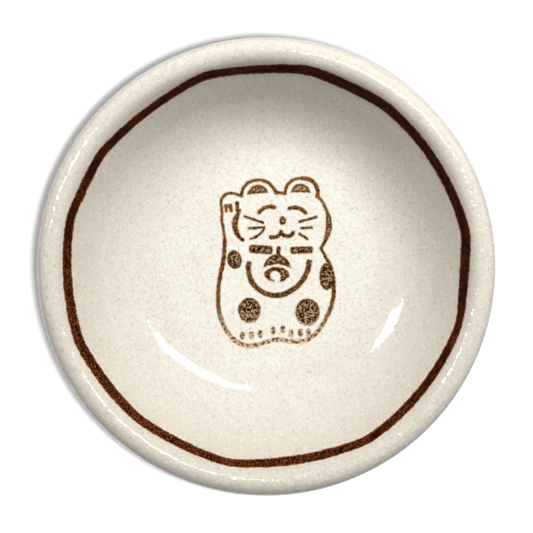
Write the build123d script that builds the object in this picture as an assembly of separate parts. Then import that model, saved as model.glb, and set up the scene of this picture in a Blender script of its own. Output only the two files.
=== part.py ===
"""Soy sauce dish: glazed stoneware on a foot ring, with a line brushed inside the lip and a printed cat.

Frame: millimetres, the dish stands on z = 0, its turning axis is Z, and the cat's ears point to +Y.
The clay, the glaze and every separate mark of pigment is a solid of its own; marks are let into the glaze.
"""
import os
from math import asin, atan2, cos, degrees, radians, sin, sqrt, tan
from build123d import *

# Dish, measured over the glaze
dish_diameter = 92.0
dish_height = 23.0
lip_radius = 2.9
well_run = 13.1  # from the middle of the lip in to where the well's wall would meet its floor
well_bend_radius = 17.0
belly_run = 13.6  # from the middle of the lip in to where the outer wall would meet the underside
belly_radius = 8.0
base_thickness = 5.0

# Foot ring
foot_inset = 6.5  # from where the outer wall would meet the underside in to the foot
foot_width = 5.0
foot_height = 4.0
foot_draft = 8.0
foot_cove_radius = 1.5
foot_edge_radius = 0.6

# Glaze and pigment
glaze_thickness = 0.4
bare_foot_height = 1.5
glaze_edge_radius = 0.25
pigment_depth = 0.12

# Brushed line inside the lip
line_inset = 6.1  # from the outer edge of the dish in to the mean radius of the line
line_width = 1.7
# At the corners of the line and between them by turns: the angle, how far it wanders, its share of the width
line_angles = (
    9, 33, 54, 67, 78, 93, 108, 126, 146, 154, 166,
    187, 202, 216, 230, 243, 259, 276, 300, 320, 344, 356,
)
line_wander = (
    0.58, -0.18, 0.12, -0.16, 0.36, -0.32, 0.30, -0.62, 0.24, 0.0, 0.54,
    0.06, 0.54, -0.08, 0.0, -0.40, 0.18, -0.62, 0.32, -0.14, 0.40, -0.24,
)
line_load = (
    1.12, 1.0, 1.1, 1.1, 1.12, 0.94, 0.94, 0.9, 1.0, 1.02, 1.0,
    1.04, 1.12, 1.12, 1.0, 0.98, 0.86, 1.02, 0.92, 0.98, 0.82, 1.06,
)

# Printed cat, drawn on a grid of 100 units to its height about the middle of the dish
print_height = 35.0
outline_width = 0.86
arm_width = 0.58
ear_width = 0.66
cheek_width = 1.25
eye_width = 0.8
mouth_width = 0.82
whisker_width = 0.54
finger_width = 0.76
forearm_width = 1.2
bib_width = 1.06
toe_width = 0.9
bell_stem_width = 0.82

# Values that follow from the sizes above
grid_unit = print_height / 100
floor_level = foot_height + base_thickness
lip_centre = Vector(dish_diameter / 2 - lip_radius, dish_height - lip_radius)
floor_corner = Vector(lip_centre.X - well_run, floor_level)
belly_corner = Vector(lip_centre.X - belly_run, foot_height)
line_radius = dish_diameter / 2 - line_inset


def polar(radius, angle):
    """A point at a radius and an angle in degrees."""
    return Vector(radius * cos(radians(angle)), radius * sin(radians(angle)))


def wall_top(corner, side):
    """Where a wall that rises from a corner runs into the lip: side 1 in the well, side -1 outside."""
    reach = lip_centre - corner
    slope = degrees(atan2(reach.Y, reach.X) + side * asin(lip_radius / reach.length))
    return corner + polar(sqrt(reach.length**2 - lip_radius**2), slope)


def foot_corners():
    """The foot ring's corners from its inner root to its outer root.

    It is carried one glaze thickness below the table, so that its clay stands on z = 0.
    """
    draw_in = (foot_height + glaze_thickness) * tan(radians(foot_draft))
    outside = belly_corner.X - foot_inset
    inside = outside - foot_width
    roots = (Vector(inside, foot_height), Vector(outside, foot_height))
    edges = (Vector(inside + draw_in, -glaze_thickness), Vector(outside - draw_in, -glaze_thickness))
    return roots[0], edges[0], edges[1], roots[1]


def dish_section():
    """Half section of the glazed dish."""
    foot = foot_corners()
    lip_inside = wall_top(floor_corner, 1)
    lip_outside = wall_top(belly_corner, -1)
    underside = Polyline((0, foot_height), *foot, belly_corner, lip_outside)
    lip = ThreePointArc(lip_outside, lip_centre + polar(lip_radius, 45), lip_inside)
    inside = Polyline(lip_inside, floor_corner, (0, floor_level), (0, foot_height))
    section = make_face([underside, lip, inside])
    edge_radius = foot_edge_radius + glaze_thickness
    foot_radii = (foot_cove_radius, edge_radius, edge_radius, foot_cove_radius)
    rounds = [*zip(foot, foot_radii), (belly_corner, belly_radius), (floor_corner, well_bend_radius)]
    for corner, radius in rounds:
        section = fillet(section.vertices().sort_by_distance(corner)[0], radius)
    return section


def inset(section, depth):
    """The half section drawn in by a depth on every side but the axis."""
    whole = section + mirror(section, about=Plane.YZ)
    half = Rectangle(dish_diameter, 4 * dish_height, align=(Align.MIN, Align.CENTER))
    return offset(whole, -depth) & half


def turned(section):
    """The solid a half section sweeps about the dish's axis."""
    return revolve(Plane.XZ * section, axis=Axis.Z)


def glaze_sections(section, clay_section):
    """The two half sections of glaze: the main coat, and the patch within the foot ring."""
    above_foot = Pos(0, bare_foot_height) * Rectangle(dish_diameter, 2 * dish_height, align=Align.MIN)
    glaze = (section - clay_section) & above_foot
    ends = [corner for corner in glaze.vertices() if abs(corner.Y - bare_foot_height) < 0.001]
    ends.sort(key=lambda corner: corner.X)
    patch, coat = fillet([ends[0], ends[-1]], glaze_edge_radius).faces().sort_by(SortBy.AREA)
    return coat, patch


def well_skin(section):
    """The thin layer at the face of the well that takes the pigment."""
    top = 2 * dish_height
    mid_base = (0, floor_level - base_thickness / 2)
    mid_wall = (floor_corner + belly_corner) / 2
    corners = (mid_base, mid_wall, lip_centre, (lip_centre.X, top), (0, top))
    well_side = make_face(Polyline(*corners, close=True))
    return turned((section - inset(section, pigment_depth)) & well_side)


def pigment(sketch, skin):
    """A mark in the face of the well, with the outline of a sketch seen from above."""
    return extrude(sketch, amount=2 * dish_height) & skin


def grid(*points):
    """Points of the drawing's grid, in millimetres."""
    return [Vector(x, y) * grid_unit for x, y in points]


def chain(points):
    """Arcs through the points taken three at a time, each starting where the last one ends."""
    return [ThreePointArc(*points[first:first + 3]) for first in range(0, len(points) - 2, 2)]


def brush(width, *points):
    """A line of one width along a chain of arcs, with round ends and joints."""
    return Sketch() + [SlotArc(path, width) for path in chain(grid(*points))]


def dash(width, start, end):
    """A straight line of one width between two points, with round ends."""
    ends = grid(start, end)
    return SlotCenterPoint((ends[0] + ends[1]) / 2, ends[1], width)


def crescent(width, start, through, end):
    """A line along an arc that is full at the middle and runs out to a point at both ends."""
    first, middle, last = grid(start, through, end)
    swell = (middle - (first + last) / 2).normalized() * width / 2
    outer = ThreePointArc(first, middle + swell, last)
    return make_face([outer, ThreePointArc(last, middle - swell, first)])


def spot(centre, width, height, tilt=0):
    """An oval mark, its size in units of the grid."""
    oval = Ellipse(width / 2 * grid_unit, height / 2 * grid_unit)
    return Pos(*grid(centre)) * Rot(0, 0, tilt) * oval


def rim_line():
    """The brushed ring, which wanders about its mean radius and swells where the brush was full."""
    edges = []
    for side in (0.5, -0.5):
        points = []
        for angle, wander, load in zip(line_angles, line_wander, line_load):
            points.append(polar(line_radius + wander + side * line_width * load, angle))
        edges.append(make_face(chain(points + points[:1])))
    return edges[0] - edges[1]


def outline():
    """Raised arm, ears, cheek, flank and base in one line, with the spot on the right flank."""
    flank = ((36.6, 2), (38.9, -6), (39.3, -13), (38.4, -21.5), (35, -29.9), (31.4, -36.2), (26.4, -41.4))
    base = ((22.4, -43.3), (17.6, -43.9), (12.8, -43.7), (8, -42.8), (3, -43.4), (-2, -44.9))
    hip = ((-6.6, -46.2), (-11.4, -46.4), (-17, -44.4), (-21.6, -40.1), (-26.4, -31.4), (-28.3, -20.5))
    back = ((-27.9, -10.5), (-26.4, -2), (-24.9, 6), (-24.6, 16))
    arm = ((-24.6, 16), (-25.3, 21.5), (-26.2, 27), (-26.1, 31.5), (-26.6, 36))
    paw = ((-25.5, 40.9), (-21.6, 43), (-17.9, 42.4), (-14.4, 41.2))
    drawing = brush(outline_width, *flank, *base, *hip, *back) + brush(arm_width, *arm, *paw)
    drawing += brush(ear_width, (-14.6, 41.6), (-12, 48), (-5, 50.6), (1.9, 48.4), (5.4, 43.2))
    drawing += dash(ear_width, (5.4, 43.2), (10.9, 42.9))
    drawing += brush(ear_width, (10.9, 42.9), (13.1, 48.7), (21, 51.6))
    drawing += brush(outline_width, (21, 51.6), (27.7, 49.2), (29.8, 41.2))
    drawing += brush(ear_width, (29.8, 41.2), (36.6, 26), (31.8, 10.8))
    drawing += crescent(cheek_width, (33.8, 36), (36.5, 23.2), (31.8, 10.8))
    drawing += dash(ear_width, (31.8, 10.8), (36.6, 2))
    return drawing + spot((35.4, -5.7), 8.8, 16)


def half_moon(start, through, end):
    """The area between an arc and its chord."""
    corners = grid(start, through, end)
    return make_face([ThreePointArc(*corners), Line(corners[2], corners[0])])


def inner_ears():
    """The dark inside of each ear."""
    left = half_moon((-11.2, 42.1), (-5, 47.9), (1.1, 43.3))
    return left + half_moon((14.2, 43.5), (19.9, 48.5), (25.8, 43.3))


def eyes():
    """Two eyes narrowed to curved lines."""
    left = brush(eye_width, (-4.5, 31.5), (-0.6, 34.5), (4.6, 34.6))
    return left + brush(eye_width, (13.5, 33.9), (18, 34.4), (22.8, 31.4))


def mouth():
    """Two shallow curves that meet under the nose."""
    return brush(mouth_width, (2.6, 17.3), (6.2, 17.5), (8.5, 20.3), (11.9, 17.7), (15.6, 19.9))


def whiskers():
    """Three whiskers on each cheek; the lowest on the left runs up into the one above it."""
    left = (((-12.9, 29.4), (-2.2, 25.7)), ((-10.5, 22.3), (-1.3, 22.9)))
    right = (((19.4, 26.2), (29.1, 28.9)), ((20.6, 22.5), (26.6, 22.8)), ((19.4, 19), (23.9, 16.2)))
    lowest = brush(whisker_width, (-9.3, 16.3), (-4.5, 18.5), (-1.3, 22.9))
    return lowest + [dash(whisker_width, start, end) for start, end in left + right]


def fingers():
    """Two short lines that part the raised paw."""
    return dash(finger_width, (-23.7, 35.6), (-23.7, 32.8)) + dash(finger_width, (-21.2, 35.8), (-20.6, 32.8))


def forearm():
    """The inner line of the raised arm, with the third finger line at its top."""
    inner = brush(finger_width, (-16, 32.8), (-17.3, 28.4), (-18.3, 24), (-17.5, 19), (-13.9, 15.6))
    inner += crescent(forearm_width, (-16, 32.8), (-18.5, 23.6), (-13.9, 15.6))
    return inner + dash(finger_width, (-17.2, 37.2), (-17, 32.8))


def band(centre, width, height, tilt):
    """A bar with rounded corners, its size in units of the grid."""
    bar = RectangleRounded(width * grid_unit, height * grid_unit, height / 3 * grid_unit)
    return Pos(*grid(centre)) * Rot(0, 0, tilt) * bar


def collar():
    """The band on each side of the bell."""
    return band((-3.3, 9.9), 13.8, 5, -4) + band((20.6, 9.6), 13.2, 4.2, 2)


def bell():
    """A stem and dome, and under them the lower half with its round sound hole and slit."""
    left, top, right = grid((-1.9, -0.9), (6.7, 7.4), (14.6, -1.3))
    left_side, right_side, brim = grid((0.4, 4.3), (12.2, 4.1), (6.6, 1.3))
    sides = [ThreePointArc(left, left_side, top), ThreePointArc(top, right_side, right)]
    dome = make_face(sides + [ThreePointArc(right, brim, left)])
    lower = spot((6, -4.7), 14.6, 8.8) - spot((5.2, -5.4), 6.2, 5.6)
    slit = Pos(*grid((6.4, -8))) * Rectangle(3.4 * grid_unit, 5.2 * grid_unit)
    return dome + dash(bell_stem_width, (7.1, 10.8), (6.7, 6.4)) + (lower - slit)


def bib():
    """The scalloped edge of the bib under the bell."""
    edge = ((-10.3, 1.8), (-9.2, -7.6), (-3.4, -14.3), (5.6, -17), (14.4, -14.2), (21.2, -8), (25.1, 2.8))
    return brush(bib_width, *edge)


def spots():
    """The round patches in the coat."""
    return spot((-18.8, 4), 8.6, 11, 12) + spot((-10, -25.7), 13.2, 14.8) + spot((24, -26.7), 14.3, 16)


def toes():
    """Short lines that part the toes of both hind feet."""
    places = ((-14.1, -40.6), (-8.8, -40.4), (-3.6, -39.6), (3.7, -37.5))
    places += ((9.6, -36.9), (14.4, -39.3), (19.9, -38.9), (24.5, -38.7))
    return Sketch() + [dash(toe_width, (x, y - 1), (x, y + 1)) for x, y in places]


def build():
    """Every solid of the dish under its own name."""
    section = dish_section()
    clay_section = inset(section, glaze_thickness)
    coat_section, foot_patch_section = glaze_sections(section, clay_section)
    skin = well_skin(section)
    marks = {
        "rim_line": rim_line(),
        "cat_outline": outline(),
        "cat_inner_ears": inner_ears(),
        "cat_eyes": eyes(),
        "cat_nose": spot((9.5, 26.9), 4.2, 5),
        "cat_mouth": mouth(),
        "cat_whiskers": whiskers(),
        "cat_fingers": fingers(),
        "cat_forearm": forearm(),
        "cat_collar": collar(),
        "cat_bell": bell(),
        "cat_bib": bib(),
        "cat_spots": spots(),
        "cat_toes": toes(),
    }
    pieces = {name: pigment(sketch, skin) for name, sketch in marks.items()}
    coat = turned(coat_section)
    for mark in pieces.values():
        coat -= mark
    pieces["stoneware_body"] = turned(clay_section)
    pieces["glaze_coat"] = coat
    pieces["foot_well_glaze"] = turned(foot_patch_section)
    return pieces


os.makedirs("parts", exist_ok=True)
for name, shape in build().items():
    print(name, "volume", round(shape.volume, 2), "valid", shape.is_valid, "solids", len(shape.solids()))
    export_step(shape, f"parts/{name}.step")
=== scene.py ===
import math
import bpy
import numpy as np
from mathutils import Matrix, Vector


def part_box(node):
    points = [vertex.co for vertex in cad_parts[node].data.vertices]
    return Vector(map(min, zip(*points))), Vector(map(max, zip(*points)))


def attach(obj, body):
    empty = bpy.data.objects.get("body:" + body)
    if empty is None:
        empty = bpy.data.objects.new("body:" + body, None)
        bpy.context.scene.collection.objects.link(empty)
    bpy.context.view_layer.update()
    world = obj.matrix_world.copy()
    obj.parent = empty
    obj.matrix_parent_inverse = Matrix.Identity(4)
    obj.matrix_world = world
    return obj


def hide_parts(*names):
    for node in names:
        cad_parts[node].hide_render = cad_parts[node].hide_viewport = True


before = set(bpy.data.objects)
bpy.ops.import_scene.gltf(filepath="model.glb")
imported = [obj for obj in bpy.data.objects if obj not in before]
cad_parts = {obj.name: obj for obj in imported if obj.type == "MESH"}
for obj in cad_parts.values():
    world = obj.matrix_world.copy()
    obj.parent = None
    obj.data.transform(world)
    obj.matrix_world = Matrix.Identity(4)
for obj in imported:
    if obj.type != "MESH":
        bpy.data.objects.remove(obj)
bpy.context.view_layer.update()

scene = bpy.context.scene
scene.view_settings.view_transform = "Standard"
mm = 0.001
tau = 2 * math.pi


# the sauce dish's section

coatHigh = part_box("glaze_coat")[1]
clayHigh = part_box("stoneware_body")[1]
patchLow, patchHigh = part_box("foot_well_glaze")
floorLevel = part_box("cat_outline")[1].z
glazeThickness = coatHigh.z - clayHigh.z

section = {
    "rimRadius": coatHigh.x,
    "height": coatHigh.z,
    "floorLevel": floorLevel,
    "footHeight": patchHigh.z - glazeThickness,
    "bareFoot": patchLow.z,  # the wiped foot shows clay up to here
    "lipRadius": 2.9 * mm,
    "wellRun": 13.1 * mm,
    "wellBend": 17 * mm,
    "bellyRun": 13.6 * mm,
    "bellyBend": 8 * mm,
    "footInset": 6.5 * mm,
    "footWidth": 5 * mm,
    "footDraft": math.radians(8),
    "footCove": 1.5 * mm,
    "footEdge": 1.0 * mm,
    "arcSteps": {"cove": 8, "edge": 6, "belly": 14, "lip": 44, "bend": 40},
}


# a path of straight runs with every inner corner swapped for an arc tangent to both runs;
# complex numbers stand for (radius, height); gives points and the normals right of the way of travel
def roundedPath(corners, radii, steps):
    run = np.diff(corners) / np.abs(np.diff(corners))
    points, normals = [corners[:1]], [-1j * run[:1]]
    for corner, before, after, radius, count in zip(corners[1:-1], run[:-1], run[1:], radii, steps):
        turn = np.angle(after / before)
        side = np.sign(turn)
        centre = corner - before * radius * math.tan(abs(turn) / 2) + 1j * before * radius * side
        heading = before * np.exp(1j * np.linspace(0, turn, count + 1))
        points.append(centre - 1j * heading * radius * side)
        normals.append(-1j * heading)
    points.append(corners[-1:])
    normals.append(-1j * run[-1:])
    return np.array([np.concatenate(points), np.concatenate(normals)])


# up the outside from the foot, round the lip's circle and down the well, with both walls tangent to the lip
def dishOutline(s):
    lipCentre = s["rimRadius"] - s["lipRadius"] + 1j * (s["height"] - s["lipRadius"])
    floorCorner = lipCentre.real - s["wellRun"] + 1j * s["floorLevel"]
    bellyCorner = lipCentre.real - s["bellyRun"] + 1j * s["footHeight"]

    def wallHeading(corner, side):
        reach = lipCentre - corner
        return np.exp(1j * (np.angle(reach) + side * math.asin(s["lipRadius"] / abs(reach))))

    upOuter, downInner = wallHeading(bellyCorner, -1), -wallHeading(floorCorner, 1)
    turn = np.angle(downInner / upOuter) % tau
    heading = upOuter * np.exp(1j * np.linspace(0, turn, s["arcSteps"]["lip"] + 1))
    lip = np.array([lipCentre - 1j * heading * s["lipRadius"], -1j * heading])
    drop = s["footHeight"] + glazeThickness
    drawIn = drop * math.tan(s["footDraft"])
    footOuter = bellyCorner - s["footInset"]
    footInner = footOuter - s["footWidth"]
    steps = s["arcSteps"]
    outside = roundedPath(
        np.array([1j * s["footHeight"], footInner, footInner + drawIn - 1j * drop,
                  footOuter - drawIn - 1j * drop, footOuter, bellyCorner, lip[0, 0]]),
        [s["footCove"], s["footEdge"], s["footEdge"], s["footCove"], s["bellyBend"]],
        [steps["cove"], steps["edge"], steps["edge"], steps["cove"], steps["belly"]])
    wellCorners = np.array([lip[0, -1], floorCorner, 1j * s["floorLevel"]])
    inside = roundedPath(wellCorners, [s["wellBend"]], [steps["bend"]])
    return np.concatenate([outside[:, :-1], lip, inside[:, 1:]], 1)


outline, outlineNormal = dishOutline(section)
clayOutline = outline - outlineNormal * glazeThickness
inWell = slice(int(np.argmax(outline.imag)), None)  # from the crown of the lip in to the axis
print("section:", len(outline), "points round the glaze")


# mesh helpers

def newPiece(name, verts, faces, smooth=True):
    mesh = bpy.data.meshes.new(name)
    mesh.from_pydata(verts.tolist(), [], faces)
    mesh.polygons.foreach_set("use_smooth", np.full(len(mesh.polygons), smooth))
    piece = bpy.data.objects.new(name, mesh)
    scene.collection.objects.link(piece)
    mesh.validate()
    mesh.update()
    return piece


def addAttribute(piece, name, values):
    layer = piece.data.attributes.new(name, "FLOAT", "POINT")
    layer.data.foreach_set("value", np.asarray(values, np.float32).ravel())


def gridFaces(rows, columns, closedRows):
    # quads between neighbouring rows of a grid whose columns close round
    i = np.arange(rows if closedRows else rows - 1)[:, None]
    j = np.arange(columns)[None, :]
    a, b = i * columns + j, i * columns + (j + 1) % columns
    c, d = ((i + 1) % rows) * columns + (j + 1) % columns, ((i + 1) % rows) * columns + j
    return np.stack([a, b, c, d], -1).reshape(-1, 4)


# a turned solid: a path from axis to axis, carried round the axis; its two ends become poles
def turnedPiece(name, path, sides, wave=None):
    angle = np.linspace(0, tau, sides, endpoint=False)
    ring = path[1:-1]
    radius = np.repeat(ring.real[:, None], sides, 1)
    height = np.repeat(ring.imag[:, None], sides, 1)
    if wave is not None:
        height = height + wave(radius, height, angle[None, :])
    verts = np.stack([radius * np.cos(angle), radius * np.sin(angle), height], -1).reshape(-1, 3)
    poles = np.array([[0, 0, path[0].imag], [0, 0, path[-1].imag]])
    verts = np.concatenate([verts, poles])
    j = np.arange(sides)
    first, last = len(verts) - 2, len(verts) - 1
    end = (len(ring) - 1) * sides
    fans = np.concatenate([np.stack([np.full(sides, first), (j + 1) % sides, j], -1),
                           np.stack([np.full(sides, last), end + j, end + (j + 1) % sides], -1)])
    faces = gridFaces(len(ring), sides, False)
    return newPiece(name, verts, faces.tolist() + fans.tolist())


# glaze coat, foot glaze and clay

glazeEdge = {"wave": 0.16 * mm, "fade": 1.2 * mm, "sides": 384}


# the wiped edge of the glaze rises and falls round the foot: a sum of three slow sines, fading up the foot
def wipedEdge(radius, height, angle):
    swing = np.sin(3 * angle + 0.4) + 0.7 * np.sin(7 * angle + 2.1) + 0.5 * np.sin(16 * angle + 1.3)
    near = np.clip(1 - (height - section["bareFoot"]) / glazeEdge["fade"], 0, 1)
    return glazeEdge["wave"] * swing * near


def cutAtFoot(path, keepOuter):
    # the stretch of a section path that lies above the bare foot, outside or inside the ring
    foot = int(np.argmin(path.imag))
    part = path[foot:] if keepOuter else path[:foot][::-1]
    below = int(np.argmax(part.imag > section["bareFoot"]))
    share = (section["bareFoot"] - part[below - 1].imag) / (part[below].imag - part[below - 1].imag)
    start = part[below - 1] + share * (part[below] - part[below - 1])
    return np.concatenate([[start], part[below:]])


def glazeLoop(keepOuter):
    # out along the glazed face, round the bead at the edge, and back along the clay
    face, back = cutAtFoot(outline, keepOuter), cutAtFoot(clayOutline, keepOuter)
    middle, arm = (face[0] + back[0]) / 2, (face[0] - back[0]) / 2
    turn = np.exp(-1j * np.linspace(0, math.pi, 7)[1:-1] * (1 if keepOuter else -1))
    bead = middle + arm * turn
    return np.concatenate([face[::-1], bead, back])


coat = turnedPiece("glazeCoat", glazeLoop(True), glazeEdge["sides"], wipedEdge)
footPatch = turnedPiece("footWellGlaze", glazeLoop(False)[::-1], 192, wipedEdge)
clay = turnedPiece("stonewareBody", clayOutline, 192)
print("turned pieces:", [len(piece.data.polygons) for piece in (coat, footPatch, clay)], "faces")


# the brushed line inside the lip

brushedLine = {
    "inset": 6.1 * mm,  # from the outer edge in to the mean radius
    "width": 1.7 * mm,
    "margin": 0.35 * mm,  # cream glaze carried along beside the line
    "lift": 0.012 * mm,
    "depth": 0.1 * mm,
    "soften": 2.0,  # degrees
    "sides": 1080,
    "across": 16,
    # degrees round the dish, wander in mm and share of the width, at the corners and between them by turns
    "strokes": [(9, 0.58, 1.12), (33, -0.18, 1.0), (54, 0.12, 1.1), (67, -0.16, 1.1), (78, 0.36, 1.12),
                (93, -0.32, 0.94), (108, 0.30, 0.94), (126, -0.62, 0.9), (146, 0.24, 1.0), (154, 0.0, 1.02),
                (166, 0.54, 1.0), (187, 0.06, 1.04), (202, 0.54, 1.12), (216, -0.08, 1.12), (230, 0.0, 1.0),
                (243, -0.40, 0.98), (259, 0.18, 0.86), (276, -0.62, 1.02), (300, 0.32, 0.92),
                (320, -0.14, 0.98), (344, 0.40, 0.82), (356, -0.24, 1.06)],
}


# an arc through three points: centre from the circle's equation, angle swept past the middle point
def arcThrough(a, b, c, count=14):
    w = (c - a) / (b - a)
    if abs(w.imag) < 1e-6:
        return np.linspace(a, c, count)
    centre = (b - a) * (w - abs(w) ** 2) / (2j * w.imag) + a
    sweep = np.angle((b - centre) / (a - centre)) + np.angle((c - centre) / (b - centre))
    return centre + (a - centre) * np.exp(1j * np.linspace(0, sweep, count))


# one edge of the line: arcs from corner to corner, read as radius against angle and blurred with a gaussian
def lineEdge(s, side, angle):
    turn, wander, load = np.array(s["strokes"], float).T
    radius = section["rimRadius"] - s["inset"] + wander * mm + side * s["width"] * load
    point = radius * np.exp(1j * np.radians(turn))
    point = np.append(point, point[0])
    path = np.concatenate([arcThrough(*point[i:i + 3], 40)[:-1] for i in range(0, len(point) - 2, 2)])
    raw = np.interp(angle, np.angle(path) % tau, np.abs(path), period=tau)
    step = 360 / len(angle)
    away = (np.arange(len(angle)) + len(angle) // 2) % len(angle) - len(angle) // 2
    kernel = np.exp(-0.5 * (away * step / s["soften"]) ** 2)
    return np.fft.ifft(np.fft.fft(raw) * np.fft.fft(kernel / kernel.sum())).real


# a band on the well's wall: at each angle the radius runs across the line and the height follows the section
def linePiece(s):
    angle = np.linspace(0, tau, s["sides"], endpoint=False)
    outer, inner = lineEdge(s, 0.5, angle), lineEdge(s, -0.5, angle)
    half = (outer - inner) / 2
    across = np.linspace(-1, 1, s["across"])[:, None] * (half + s["margin"])
    radius = (outer + inner) / 2 + across
    wellRadius, wellHeight = outline[inWell].real[::-1], outline[inWell].imag[::-1]
    tilt = np.unwrap(np.angle(outlineNormal[inWell]))[::-1]
    height = np.interp(radius, wellRadius, wellHeight)
    lean = np.interp(radius, wellRadius, tilt)
    rows = []
    for lift, order in ((s["lift"], slice(None)), (-s["depth"], slice(None, None, -1))):
        r = (radius + lift * np.cos(lean))[order]
        z = (height + lift * np.sin(lean))[order]
        rows.append(np.stack([r * np.cos(angle), r * np.sin(angle), z], -1))
    normal = np.stack([np.cos(lean) * np.cos(angle), np.cos(lean) * np.sin(angle), np.sin(lean)], -1)
    normals = np.concatenate([normal, -normal[::-1]]).reshape(-1, 3)
    verts = np.concatenate(rows).reshape(-1, 3)
    faces = gridFaces(2 * s["across"], s["sides"], True)[:, ::-1]
    piece = newPiece("rimLine", verts, faces.tolist())
    edge = np.abs(across) - half
    addAttribute(piece, "edge", np.concatenate([edge, edge[::-1]]) / mm)
    addAttribute(piece, "across", np.concatenate([across, across[::-1]]) / mm)
    piece.data.normals_split_custom_set_from_vertices(normals.tolist())
    return piece


line = linePiece(brushedLine)
print("brushed line:", len(line.data.polygons), "faces")


# the printed cat, in grid units of a hundredth of its height, about the middle of the dish

catPrint = {
    "height": 35 * mm,
    "step": 0.12 * mm,
    "margin": 0.3 * mm,
    "lift": 0.01 * mm,
    "depth": 0.1 * mm,
    # stroke widths in mm
    "outline": 0.86, "arm": 0.58, "ear": 0.66, "cheek": 1.25, "eye": 0.8, "mouth": 0.82, "whisker": 0.54,
    "finger": 0.76, "forearm": 1.2, "bib": 1.06, "toe": 0.9, "stem": 0.82,
}
unit = catPrint["height"] / 100 / mm  # grid unit in mm
gridX = np.arange(-11.4, 15.6, catPrint["step"] / mm)
gridY = np.arange(-17.6, 19.6, catPrint["step"] / mm)
plane = gridX[None, :] + 1j * gridY[:, None]


def chain(*points):
    # arcs through the points three at a time
    p = [complex(*q) * unit for q in points]
    if len(p) == 2:
        return np.array(p)
    return np.concatenate([arcThrough(*p[i:i + 3]) for i in range(0, len(p) - 2, 2)])


# distance to a straight run: how far along it the point lies, held between its ends, and the way from there
def toSegment(a, b):
    share = np.clip(((plane - a) * np.conj(b - a)).real / max(abs(b - a) ** 2, 1e-12), 0, 1)
    return np.abs(plane - a - share * (b - a))


# distance to the path less half the width: below zero inside the stroke
def stroke(width, *points):
    path = chain(*points)
    far = np.full(plane.shape, 1e3)
    for a, b in zip(path[:-1], path[1:]):
        far = np.minimum(far, toSegment(a, b))
    return far - width / 2


# distance to a closed outline, below zero where the outline winds round the point
def filled(loop):
    far, turns = np.full(plane.shape, 1e3), np.zeros(plane.shape)
    for a, b in zip(loop, np.roll(loop, -1)):
        far = np.minimum(far, toSegment(a, b))
        turns += np.angle((b - plane) / (a - plane))
    return np.where(np.abs(turns) > math.pi, -far, far)


# an ellipse, cosine by sine, turned about its middle
def oval(centre, width, height, tilt=0):
    t = np.linspace(0, tau, 40, endpoint=False)
    loop = width / 2 * np.cos(t) + 0.5j * height * np.sin(t)
    return filled((complex(*centre) + loop * np.exp(1j * math.radians(tilt))) * unit)


# a rectangle with a quarter circle at each corner, turned about its middle
def bar(centre, width, height, corner, tilt):
    t = np.exp(1j * np.linspace(0, math.pi / 2, 6))
    quarter = complex(width / 2 - corner, height / 2 - corner)
    loop = np.concatenate([quarter + corner * t, -quarter.conjugate() + corner * 1j * t,
                           -quarter - corner * t, quarter.conjugate() - corner * 1j * t])
    return filled((complex(*centre) + loop * np.exp(1j * math.radians(tilt))) * unit)


# between two arcs that share their ends and stand a width apart at the middle
def crescent(width, start, through, end):
    a, b, c = [complex(*p) * unit for p in (start, through, end)]
    swell = b - (a + c) / 2
    swell *= width / 2 / abs(swell)
    return filled(np.concatenate([arcThrough(a, b + swell, c)[:-1], arcThrough(c, b - swell, a)[:-1]]))


# the distance to several shapes is the least of theirs
def merge(*fields):
    return np.minimum.reduce(fields)


def catOutline(s):
    body = [(36.6, 2), (38.9, -6), (39.3, -13), (38.4, -21.5), (35, -29.9), (31.4, -36.2), (26.4, -41.4),
            (22.4, -43.3), (17.6, -43.9), (12.8, -43.7), (8, -42.8), (3, -43.4), (-2, -44.9), (-6.6, -46.2),
            (-11.4, -46.4), (-17, -44.4), (-21.6, -40.1), (-26.4, -31.4), (-28.3, -20.5), (-27.9, -10.5),
            (-26.4, -2), (-24.9, 6), (-24.6, 16)]
    arm = [(-24.6, 16), (-25.3, 21.5), (-26.2, 27), (-26.1, 31.5), (-26.6, 36), (-25.5, 40.9), (-21.6, 43),
           (-17.9, 42.4), (-14.4, 41.2)]
    return merge(
        stroke(s["outline"], *body),
        stroke(s["arm"], *arm),
        stroke(s["ear"], (-14.6, 41.6), (-12, 48), (-5, 50.6), (1.9, 48.4), (5.4, 43.2)),
        stroke(s["ear"], (5.4, 43.2), (10.9, 42.9)),
        stroke(s["ear"], (10.9, 42.9), (13.1, 48.7), (21, 51.6)),
        stroke(s["outline"], (21, 51.6), (27.7, 49.2), (29.8, 41.2)),
        stroke(s["ear"], (29.8, 41.2), (36.6, 26), (31.8, 10.8)),
        crescent(s["cheek"], (33.8, 36), (36.5, 23.2), (31.8, 10.8)),
        stroke(s["ear"], (31.8, 10.8), (36.6, 2)),
        oval((35.4, -5.7), 8.8, 16))


def catBell(s):
    dome = np.concatenate([chain((-1.9, -0.9), (0.4, 4.3), (6.7, 7.4))[:-1],
                           chain((6.7, 7.4), (12.2, 4.1), (14.6, -1.3))[:-1],
                           chain((14.6, -1.3), (6.6, 1.3), (-1.9, -0.9))[:-1]])
    slit = merge(oval((5.2, -5.4), 6.2, 5.6), bar((6.4, -8), 3.4, 5.2, 0.2, 0))
    lower = np.maximum(oval((6, -4.7), 14.6, 8.8), -slit)
    return merge(filled(dome), lower, stroke(s["stem"], (7.1, 10.8), (6.7, 6.4)))


# an arc closed by its chord
def halfMoon(*points):
    return filled(chain(*points))


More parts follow.
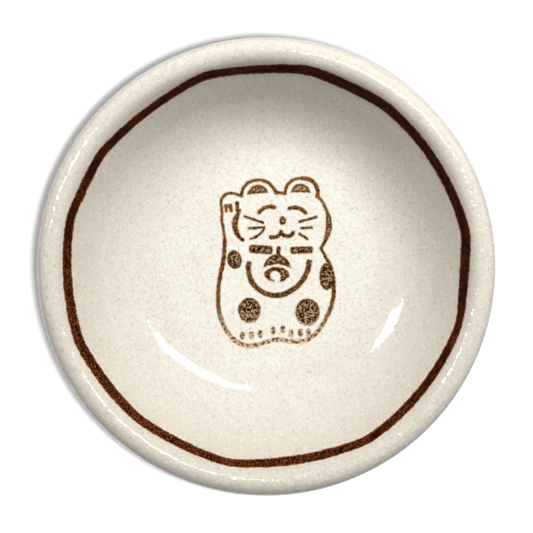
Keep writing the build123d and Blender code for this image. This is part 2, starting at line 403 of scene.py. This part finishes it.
def catMarks(s):
    whiskers = [((-12.9, 29.4), (-2.2, 25.7)), ((-10.5, 22.3), (-1.3, 22.9)),
                ((-9.3, 16.3), (-4.5, 18.5), (-1.3, 22.9)), ((19.4, 26.2), (29.1, 28.9)),
                ((20.6, 22.5), (26.6, 22.8)), ((19.4, 19), (23.9, 16.2))]
    toes = [(-14.1, -40.6), (-8.8, -40.4), (-3.6, -39.6), (3.7, -37.5), (9.6, -36.9), (14.4, -39.3),
            (19.9, -38.9), (24.5, -38.7)]
    return {
        "cat_outline": catOutline(s),
        "cat_inner_ears": merge(halfMoon((-11.2, 42.1), (-5, 47.9), (1.1, 43.3)),
                                halfMoon((14.2, 43.5), (19.9, 48.5), (25.8, 43.3))),
        "cat_eyes": merge(stroke(s["eye"], (-4.5, 31.5), (-0.6, 34.5), (4.6, 34.6)),
                          stroke(s["eye"], (13.5, 33.9), (18, 34.4), (22.8, 31.4))),
        "cat_nose": oval((9.5, 26.9), 4.2, 5),
        "cat_mouth": stroke(s["mouth"], (2.6, 17.3), (6.2, 17.5), (8.5, 20.3), (11.9, 17.7), (15.6, 19.9)),
        "cat_whiskers": merge(*[stroke(s["whisker"], *path) for path in whiskers]),
        "cat_fingers": merge(stroke(s["finger"], (-23.7, 35.6), (-23.7, 32.8)),
                             stroke(s["finger"], (-21.2, 35.8), (-20.6, 32.8))),
        "cat_forearm": merge(stroke(s["finger"], (-16, 32.8), (-17.3, 28.4), (-18.3, 24), (-17.5, 19),
                                    (-13.9, 15.6)),
                             crescent(s["forearm"], (-16, 32.8), (-18.5, 23.6), (-13.9, 15.6)),
                             stroke(s["finger"], (-17.2, 37.2), (-17, 32.8))),
        "cat_collar": merge(bar((-3.3, 9.9), 13.8, 5, 1.7, -4), bar((20.6, 9.6), 13.2, 4.2, 1.4, 2)),
        "cat_bell": catBell(s),
        "cat_bib": stroke(s["bib"], (-10.3, 1.8), (-9.2, -7.6), (-3.4, -14.3), (5.6, -17), (14.4, -14.2),
                          (21.2, -8), (25.1, 2.8)),
        "cat_spots": merge(oval((-18.8, 4), 8.6, 11, 12), oval((-10, -25.7), 13.2, 14.8),
                           oval((24, -26.7), 14.3, 16)),
        "cat_toes": merge(*[stroke(s["toe"], (x, y - 1), (x, y + 1)) for x, y in toes]),
    }


# the squares of the plane that lie nearest to one mark, as a thin plate let into the floor of the well
def printedPiece(node, mine, union, s):
    i, j = np.nonzero(mine)
    width = plane.shape[1]
    quads = np.stack([i * width + j, i * width + j + 1, (i + 1) * width + j + 1, (i + 1) * width + j], -1)
    used, faces = np.unique(quads, return_inverse=True)
    spot = plane.ravel()[used] * mm
    verts = np.stack([spot.real, spot.imag, np.full(len(spot), floorLevel + s["lift"])], -1)
    name = node.replace("_", " ").title().replace(" ", "")
    piece = newPiece(name, verts, faces.reshape(-1, 4).tolist(), False)
    addAttribute(piece, "edge", union.ravel()[used])
    plate = piece.modifiers.new("plate", "SOLIDIFY")
    plate.thickness = s["depth"]
    plate.offset = -1
    return piece


# every square goes to the mark whose distance is least at its middle, so no two plates overlap
def printCat(s):
    fields = catMarks(s)
    stack = np.stack(list(fields.values()))
    union = stack.min(0)
    middle = (stack[:, :-1, :-1] + stack[:, 1:, :-1] + stack[:, :-1, 1:] + stack[:, 1:, 1:]) / 4
    owner = middle.argmin(0)
    near = middle.min(0) < s["margin"] / mm
    return {node: printedPiece(node, near & (owner == k), union, s) for k, node in enumerate(fields)}


marks = printCat(catPrint)
print("printed cat:", len(marks), "marks,", sum(len(m.data.polygons) for m in marks.values()), "faces")


# materials

class nodeBook:
    # a short way to place and join nodes in one tree
    def __init__(self, tree):
        self.tree = tree

    def add(self, kind, settings=None, **inputs):
        node = self.tree.nodes.new(kind)
        for key, value in (settings or {}).items():
            setattr(node, key, value)
        for key, value in inputs.items():
            self.feed(node.inputs[key.replace("_", " ")], value)
        return node

    def feed(self, socket, value):
        if isinstance(value, bpy.types.NodeSocket):
            self.tree.links.new(value, socket)
        else:
            socket.default_value = value

    def math(self, operation, a, b=0.0, clamp=False):
        node = self.add("ShaderNodeMath", {"operation": operation, "use_clamp": clamp})
        self.feed(node.inputs[0], a)
        self.feed(node.inputs[1], b)
        return node.outputs[0]

    def mapped(self, value, low, high, toLow=0.0, toHigh=1.0, smooth=True):
        node = self.add("ShaderNodeMapRange", {"interpolation_type": "SMOOTHSTEP" if smooth else "LINEAR"})
        for socket, v in zip(list(node.inputs)[:5], (value, low, high, toLow, toHigh)):
            self.feed(socket, v)
        return node.outputs[0]

    def mix(self, share, a, b, blend="MIX"):
        node = self.add("ShaderNodeMix", {"data_type": "RGBA", "blend_type": blend})
        self.feed(node.inputs[0], share)
        self.feed(node.inputs[6], a)
        self.feed(node.inputs[7], b)
        return node.outputs[2]

    def noise(self, place, size, detail=2.0, rough=0.5, seed=0.0):
        # size is the width of one feature in metres
        node = self.add("ShaderNodeTexNoise", {"noise_dimensions": "4D"}, Scale=1 / size, Detail=detail,
                        Roughness=rough, W=seed, Vector=place)
        return node.outputs[0]


def srgb(r, g, b):
    c = np.array([r, g, b]) / 255
    return (*np.where(c <= 0.04045, c / 12.92, ((c + 0.055) / 1.055) ** 2.4).tolist(), 1.0)


def newGroup(name, inputs, outputs):
    group = bpy.data.node_groups.new(name, "ShaderNodeTree")
    for direction, sockets in (("INPUT", inputs), ("OUTPUT", outputs)):
        for label, kind in sockets:
            group.interface.new_socket(name=label, in_out=direction, socket_type="NodeSocket" + kind)
    book = nodeBook(group)
    return book, book.add("NodeGroupInput"), book.add("NodeGroupOutput")


glazeLook = {
    "floor": (243, 238, 228),
    # painted shade: the wall is darker than the floor, most of all towards the line, and partly the glaze's
    # own tone
    "wall": (207, 199, 186),
    "lip": (225, 217, 203),
    # painted light: the crown of the lip is lighter than its slopes
    "litCrown": (230, 222, 208),
    "edge": (194, 184, 169),  # darker outside the rim and low on the foot: the coat thins there, and at the rim it is also painted shade under the lip
    "cloud": (224, 217, 201),
    "shade": (198, 192, 175),
    "shine": (252, 249, 243),
    "speck": (140, 130, 114),
    "roughness": (0.05, 0.1),
    # cell size and dot radius in mm, faintest and strongest dot
    "specks": [(1.5, 0.5, 0.0, 0.3), (0.85, 0.3, 0.0, 0.28), (2.6, 0.26, 0.0, 0.5)],
}


# cream glaze: colour that drifts with the radius, partly painted shade up the wall and under the lip and
# painted light on the lip's crown, clouds, grain, soft specks, and its orange peel in mm
def creamGroup(s):
    book, given, out = newGroup("creamGlazeField", [("Place", "Vector")],
                                [("Color", "Color"), ("Roughness", "Float"), ("Height", "Float")])
    place = given.outputs["Place"]
    x, y, z = book.add("ShaderNodeSeparateXYZ", Vector=place).outputs
    radius = book.math("SQRT", book.math("ADD", book.math("MULTIPLY", x, x), book.math("MULTIPLY", y, y)))
    onFloor = book.mapped(radius, 39 * mm, 20 * mm, 0.0, 1.0, False)
    onLip = book.mapped(radius, 40.5 * mm, 43 * mm)
    # painted shade: darker from the floor up the wall towards the line, partly the glaze's own tone
    color = book.mix(onFloor, srgb(*s["wall"]), srgb(*s["floor"]))
    color = book.mix(onLip, color, srgb(*s["lip"]))
    # painted light: a lighter band along the crown of the lip
    color = book.mix(book.mapped(radius, 43.2 * mm, 44.4 * mm), color, srgb(*s["litCrown"]))
    # painted shade under the lip at the outer rim, together with the thinner coat there and low on the foot
    thinCoatAndShade = book.math("MAXIMUM", book.mapped(radius, 44.7 * mm, 45.7 * mm), book.mapped(z, 5 * mm, 1.4 * mm))
    patchy = book.noise(place, 6 * mm, 3, 0.6, 1.0)
    thinCoatAndShade = book.math("MULTIPLY", thinCoatAndShade, book.mapped(patchy, 0.2, 0.8, 0.7, 1.0))
    color = book.mix(thinCoatAndShade, color, srgb(*s["edge"]))
    cloud = book.noise(place, 8 * mm, 4, 0.6, 2.0)
    color = book.mix(book.mapped(cloud, 0.35, 0.7, 0.0, 0.3), color, srgb(*s["cloud"]))
    grain = book.noise(place, 0.45 * mm, 2, 0.6, 3.0)
    inBowl = book.mapped(onFloor, 0, 1, 0.28, 0.5, False)
    strength = book.math("MAXIMUM", inBowl, book.math("MULTIPLY", onLip, 0.4))
    darker = book.math("MULTIPLY", book.mapped(grain, 0.5, 0.7), strength)
    lighter = book.math("MULTIPLY", book.mapped(grain, 0.48, 0.32), strength)
    color = book.mix(darker, color, srgb(*s["shade"]))
    color = book.mix(lighter, color, srgb(*s["shine"]))
    warp = book.add("ShaderNodeTexNoise", Scale=1 / (0.5 * mm), Detail=1.0, Vector=place)
    shift = book.add("ShaderNodeVectorMath", {"operation": "MULTIPLY_ADD"})
    book.feed(shift.inputs[0], warp.outputs["Color"])
    book.feed(shift.inputs[1], (0.35 * mm,) * 3)
    book.feed(shift.inputs[2], place)
    specks = 0.0
    for size, dot, faint, strong in s["specks"]:
        cells = book.add("ShaderNodeTexVoronoi", {"feature": "F1"}, Scale=1 / (size * mm),
                         Vector=shift.outputs[0])
        pick = book.add("ShaderNodeSeparateColor", Color=cells.outputs["Color"])
        body = book.mapped(cells.outputs["Distance"], dot / size, 0.2 * dot / size)
        deep = book.mapped(pick.outputs[0], 0.0, 1.0, faint, strong, False)
        specks = book.math("MAXIMUM", specks, book.math("MULTIPLY", body, deep))
    color = book.mix(specks, color, srgb(*s["speck"]))
    pitted = book.mapped(book.math("SUBTRACT", x, y), 10 * mm, 60 * mm, 0.55, 0.85)
    fine = book.math("MULTIPLY", book.noise(place, 0.7 * mm, 0, 0.5, 7.0), pitted)
    peel = book.math("ADD", book.noise(place, 1.6 * mm, 0, 0.5, 5.0), fine)
    peel = book.math("MULTIPLY", peel, book.mapped(onLip, 0, 1, 0.022, 0.11, False))
    slow = book.math("MULTIPLY", book.noise(place, 7 * mm, 1, 0.4, 6.0), 0.1)
    rough = book.mapped(cloud, 0.3, 0.7, *s["roughness"])
    for label, value in (("Color", color), ("Roughness", rough), ("Height", book.math("ADD", peel, slow))):
        book.feed(out.inputs[label], value)
    return book.tree


# a mark's edge: the distance attribute pushed in and out by two sizes of noise
def ragGroup():
    book, given, out = newGroup("raggedEdge",
                                [("Edge", "Float"), ("Place", "Vector"), ("Rag", "Float"), ("Blur", "Float")],
                                [("Inside", "Float"), ("Depth", "Float")])
    place, edge = given.outputs["Place"], given.outputs["Edge"]
    coarse = book.math("SUBTRACT", book.noise(place, 0.9 * mm, 2, 0.6, 11.0), 0.5)
    fine = book.math("SUBTRACT", book.noise(place, 0.32 * mm, 2, 0.7, 12.0), 0.5)
    push = book.math("ADD", book.math("MULTIPLY", coarse, 0.7), fine)
    moved = book.math("ADD", edge, book.math("MULTIPLY", push, given.outputs["Rag"]))
    inside = book.mapped(moved, given.outputs["Blur"], book.math("MULTIPLY", given.outputs["Blur"], -1.0))
    book.feed(out.inputs["Inside"], inside)
    book.feed(out.inputs["Depth"], book.math("MULTIPLY", moved, -1.0))
    return book.tree


creamField = creamGroup(glazeLook)
raggedEdge = ragGroup()


def newMaterial(name):
    material = bpy.data.materials.new(name)
    material.use_nodes = True
    material.node_tree.nodes.clear()
    book = nodeBook(material.node_tree)
    place = book.add("ShaderNodeTexCoord").outputs["Object"]
    shader = book.add("ShaderNodeBsdfPrincipled")
    book.add("ShaderNodeOutputMaterial", Surface=shader.outputs[0])
    return material, book, place, shader


def placeGroup(book, tree, **inputs):
    node = book.add("ShaderNodeGroup", {"node_tree": tree})
    for key, value in inputs.items():
        book.feed(node.inputs[key], value)
    return node


def glazeBump(book, height, shader, distance=mm):
    bump = book.add("ShaderNodeBump", Strength=1.0, Distance=distance, Height=height)
    book.feed(shader.inputs["Normal"], bump.outputs[0])


def creamMaterial():
    material, book, place, shader = newMaterial("creamGlaze")
    cream = placeGroup(book, creamField, Place=place)
    book.feed(shader.inputs["Base Color"], cream.outputs["Color"])
    book.feed(shader.inputs["Roughness"], cream.outputs["Roughness"])
    glazeBump(book, cream.outputs["Height"], shader)
    return material


ironLook = {"dark": (18, 2, 0), "core": (62, 16, 0), "pale": (150, 92, 56), "edge": (136, 70, 22)}


# iron brown: streaks drawn out along the line, pale mottles, and a thin rusty border where the pigment bled
def ironMaterial(s):
    material, book, place, shader = newMaterial("ironLine")
    cream = placeGroup(book, creamField, Place=place)
    distance = book.add("ShaderNodeAttribute", {"attribute_name": "edge"}).outputs["Fac"]
    across = book.add("ShaderNodeAttribute", {"attribute_name": "across"}).outputs["Fac"]
    rag = placeGroup(book, raggedEdge, Edge=distance, Place=place, Rag=0.52, Blur=0.08)
    x, y = book.add("ShaderNodeSeparateXYZ", Vector=place).outputs[:2]
    along = book.add("ShaderNodeCombineXYZ", X=book.math("MULTIPLY", x, 0.22),
                     Y=book.math("MULTIPLY", y, 0.22), Z=book.math("MULTIPLY", across, mm)).outputs[0]
    streak = book.noise(along, 0.5 * mm, 2, 0.6, 20.0)
    mottle = book.noise(place, 0.27 * mm, 1, 0.6, 21.0)
    slow = book.math("SUBTRACT", book.noise(place, 8 * mm, 2, 0.5, 22.0), 0.5)
    # the pale mottles grow towards the lower left of the dish and thin out towards the top right
    side = book.math("ADD", y, book.math("MULTIPLY", x, 0.5))
    bare = book.math("ADD", slow, book.mapped(side, 30 * mm, -40 * mm, 0.3, 0.62))
    color = book.mix(book.mapped(streak, 0.38, 0.62), srgb(*s["dark"]), srgb(*s["core"]))
    pale = book.math("MULTIPLY", book.mapped(mottle, 0.52, 0.64), book.mapped(bare, 0.3, 0.7, 0.06, 0.75))
    color = book.mix(pale, color, srgb(*s["pale"]))
    color = book.mix(book.mapped(rag.outputs["Depth"], 0.26, 0.04), color, srgb(*s["edge"]))
    color = book.mix(rag.outputs["Inside"], cream.outputs["Color"], color)
    book.feed(shader.inputs["Base Color"], color)
    book.feed(shader.inputs["Roughness"], cream.outputs["Roughness"])
    shader.inputs["Specular IOR Level"].default_value = 0.05
    glazeBump(book, cream.outputs["Height"], shader)
    return material


printLook = {
    "stroke": (130, 83, 37),
    "wash": (178, 148, 112),
    "fleck": (42, 18, 2),
    "bleed": (156, 106, 54),  # along the edges
    "halo": (206, 176, 130),  # and just past them
    "middle": (2.5 * mm, -1 * mm, floorLevel),  # where the stamp pressed hardest
    "pressed": (10 * mm, 16.5 * mm),  # it thins from the first distance to the second
}


# stamped print: dark grains on brown lines and on a thin wash in the fills, fading towards the hind feet
def printMaterial(s):
    material, book, place, shader = newMaterial("catPrint")
    cream = placeGroup(book, creamField, Place=place)
    distance = book.add("ShaderNodeAttribute", {"attribute_name": "edge"}).outputs["Fac"]
    rag = placeGroup(book, raggedEdge, Edge=distance, Place=place, Rag=0.7, Blur=0.12)
    y = book.add("ShaderNodeSeparateXYZ", Vector=place).outputs["Y"]
    fading = book.mapped(y, -6 * mm, -15.5 * mm, 0.0, 0.95)
    filling = book.mapped(distance, -0.3, -0.6)
    away = book.add("ShaderNodeVectorMath", {"operation": "DISTANCE"})
    book.feed(away.inputs[0], place)
    book.feed(away.inputs[1], s["middle"])
    sparse = book.mapped(away.outputs["Value"], *s["pressed"], 0.0, 0.06)
    lineGrain = book.math("SUBTRACT", book.noise(place, 0.29 * mm, 1, 0.5, 31.0), sparse)
    fillGrain = book.math("SUBTRACT", book.noise(place, 0.31 * mm, 0, 0.5, 33.0), sparse)
    inLine = book.mapped(lineGrain, 0.42, 0.55)
    inFill = book.mapped(fillGrain, 0.39, 0.53)
    gaps = book.noise(place, 0.42 * mm, 1, 0.6, 32.0)
    lines = book.mix(inLine, srgb(*s["stroke"]), srgb(*s["fleck"]))
    fills = book.mix(inFill, srgb(*s["wash"]), srgb(*s["fleck"]))
    color = book.mix(filling, lines, fills)
    color = book.mix(book.mapped(rag.outputs["Depth"], 0.12, -0.08, 0.0, 0.85), color, srgb(*s["bleed"]))
    fading = book.math("SUBTRACT", fading, filling, True)
    bare = book.math("MULTIPLY", book.mapped(gaps, 0.46, 0.56), fading)
    covered = book.math("SUBTRACT", 1.0, bare)
    beside = book.mapped(distance, 0.28, -0.05, 0.0, 0.6)
    around = book.mix(beside, cream.outputs["Color"], srgb(*s["halo"]))
    color = book.mix(book.math("MULTIPLY", rag.outputs["Inside"], covered), around, color)
    book.feed(shader.inputs["Base Color"], color)
    book.feed(shader.inputs["Roughness"], cream.outputs["Roughness"])
    glazeBump(book, cream.outputs["Height"], shader)
    return material


clayLook = {"clay": (188, 165, 134), "cloud": (172, 146, 114), "toast": (158, 118, 80), "sand": (120, 98, 74)}


# bare stoneware: sandy grain, wiping rings round the axis, and a toasted stripe under the edge of the glaze
def clayMaterial(s):
    material, book, place, shader = newMaterial("bareStoneware")
    x, y, z = book.add("ShaderNodeSeparateXYZ", Vector=place).outputs
    radius = book.math("SQRT", book.math("ADD", book.math("MULTIPLY", x, x), book.math("MULTIPLY", y, y)))
    grain = book.noise(place, 0.35 * mm, 3, 0.7, 41.0)
    cloud = book.noise(place, 5 * mm, 3, 0.5, 42.0)
    color = book.mix(book.mapped(cloud, 0.3, 0.7, 0.0, 0.5), srgb(*s["clay"]), srgb(*s["cloud"]))
    color = book.mix(book.mapped(z, 0.7 * mm, 1.5 * mm, 0.0, 0.8), color, srgb(*s["toast"]))
    color = book.mix(book.mapped(grain, 0.55, 0.75, 0.0, 0.7), color, srgb(*s["sand"]))
    rings = book.math("SINE", book.math("MULTIPLY", radius, tau / (0.45 * mm)))
    height = book.math("ADD", grain, book.math("MULTIPLY", rings, 0.15))
    book.feed(shader.inputs["Base Color"], color)
    book.feed(shader.inputs["Roughness"], book.mapped(grain, 0.3, 0.7, 0.75, 0.95))
    glazeBump(book, height, shader, 0.06 * mm)
    return material


cream = creamMaterial()
iron = ironMaterial(ironLook)
ink = printMaterial(printLook)
bareClay = clayMaterial(clayLook)


def settle(piece, nodes, material):
    piece.data.materials.append(material)
    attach(piece, "root")
    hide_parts(*nodes)


settle(coat, ["glaze_coat"], cream)
settle(footPatch, ["foot_well_glaze"], cream)
settle(clay, ["stoneware_body"], bareClay)
settle(line, ["rim_line"], iron)
for node, piece in marks.items():
    settle(piece, [node], ink)
print("materials:", len(bpy.data.materials))


# stage, light and camera

stage = {
    "floorSize": 3.0,
    "floorSeen": 0.85,  # the table's albedo to the camera
    "floorFelt": 0.45,  # and to the dish
    "floorGlow": (0.3, 1.0),  # beside the dish and far off
    "glowReach": (0.08, 0.3),
    "fill": 0.05,
    "surround": (0.15, 0.4),  # white up to this height in the glaze, and dim from that one on
    "ceiling": 0.06,
    "cameraHeight": 0.527,
    "lens": 170.6,
}


# rays that the camera sends straight, and those by way of a mirror or glass
def seenRays(book):
    rays = book.add("ShaderNodeLightPath").outputs
    return rays["Is Camera Ray"], book.math("MAXIMUM", rays["Is Glossy Ray"], rays["Is Transmission Ray"])


def stageFloor(s):
    half = s["floorSize"] / 2
    corners = np.array([[-half, -half, 0], [half, -half, 0], [half, half, 0], [-half, half, 0]])
    floor = newPiece("whiteTable", corners, [[0, 1, 2, 3]], False)
    material = bpy.data.materials.new("whiteTable")
    material.use_nodes = True
    material.node_tree.nodes.clear()
    book = nodeBook(material.node_tree)
    direct = book.math("MAXIMUM", *seenRays(book))
    white, dim = (s["floorSeen"],) * 3 + (1,), (s["floorFelt"],) * 3 + (1,)
    matt = book.add("ShaderNodeBsdfDiffuse", Color=book.mix(direct, dim, white))
    place = book.add("ShaderNodeTexCoord").outputs["Object"]
    away = book.add("ShaderNodeVectorMath", {"operation": "LENGTH"}, Vector=place).outputs["Value"]
    whiter = book.mapped(away, *s["glowReach"], *s["floorGlow"])
    glow = book.add("ShaderNodeEmission", Strength=book.math("MULTIPLY", direct, whiter))
    both = book.add("ShaderNodeAddShader")
    book.feed(both.inputs[0], matt.outputs[0])
    book.feed(both.inputs[1], glow.outputs[0])
    book.add("ShaderNodeOutputMaterial", Surface=both.outputs[0])
    floor.data.materials.append(material)
    return floor


# flat panels that face down, all but one at one height: place and size are shares of that height, and level
# is the light on a flat face over pi, which a panel of power P at height h, seen at the angle z from upright,
# gives as P cos(z)^4 / (pi h)^2
lamps = {
    "longPanel": {"place": (0.245, 0.29), "size": (0.405, 0.132), "level": 0.24, "mirrored": True},
    "shortPanel": {"place": (-0.67, 0.31), "size": (0.36, 0.185), "level": 0.16, "mirrored": True},
    "softKey": {"place": (0.33, 0.86), "size": (1.2, 0.5), "level": 0.83, "mirrored": False},
    "softTop": {"place": (0.05, 0.0), "size": (0.35, 0.35), "level": 0.11, "mirrored": False},
    "softRight": {"place": (1.6, -1.0), "size": (0.9, 0.9), "level": 0.065, "mirrored": False},
    "softLeft": {"place": (-2.0, 0.0), "size": (0.9, 0.9), "level": 0.065, "mirrored": False},
    "tableLamp": {"place": (0.049, -0.023), "size": (0.086, 0.086), "level": 1.15, "mirrored": False,
                  "height": 0.44},
}
lampHeight = 0.8
panelTurn = math.radians(1)


def addPanel(name, s):
    lamp = bpy.data.lights.new(name, "AREA")
    lamp.shape = "RECTANGLE"
    height = s.get("height", lampHeight)
    lamp.size, lamp.size_y = (side * height for side in s["size"])
    slant = 1 + s["place"][0] ** 2 + s["place"][1] ** 2  # the inverse square of cos(z)
    lamp.energy = s["level"] * (math.pi * height * slant) ** 2
    panel = bpy.data.objects.new(name, lamp)
    panel.visible_camera = False
    panel.visible_glossy = s["mirrored"]
    panel.visible_diffuse = not s["mirrored"]
    panel.location = Vector((*s["place"], 1)) * height
    panel.rotation_euler.z = panelTurn
    scene.collection.objects.link(panel)
    return panel


floor = stageFloor(stage)
panels = {name: addPanel(name, s) for name, s in lamps.items()}
print("stage:", len(panels), "lamps")

# the table lamp lights only the table, and the others only the dish
tableOnly = bpy.data.collections.new("tableOnly")
tableOnly.objects.link(floor)
dishOnly = bpy.data.collections.new("dishOnly")
for piece in (coat, footPatch, clay, line, *marks.values()):
    dishOnly.objects.link(piece)
for name, panel in panels.items():
    panel.light_linking.receiver_collection = tableOnly if name == "tableLamp" else dishOnly

world = bpy.data.worlds.new("studio")
scene.world = world
world.use_nodes = True
book = nodeBook(world.node_tree)
sky = world.node_tree.nodes["Background"]
sky.inputs["Color"].default_value = (1, 1, 1, 1)
outward = book.add("ShaderNodeTexCoord").outputs["Generated"]
upward = book.add("ShaderNodeSeparateXYZ", Vector=outward).outputs["Z"]
surround = book.mapped(upward, *stage["surround"], 1.0, stage["ceiling"])
straight, mirrored = seenRays(book)
level = book.math("MAXIMUM", straight, book.math("MULTIPLY", mirrored, surround))
book.feed(sky.inputs["Strength"], book.math("MAXIMUM", level, stage["fill"]))

camera = bpy.data.objects.new("camera", bpy.data.cameras.new("camera"))
camera.data.lens = stage["lens"]
camera.data.sensor_width = 36
camera.data.clip_start = 0.01
camera.location = (0, 0, stage["cameraHeight"])
scene.collection.objects.link(camera)
scene.camera = camera
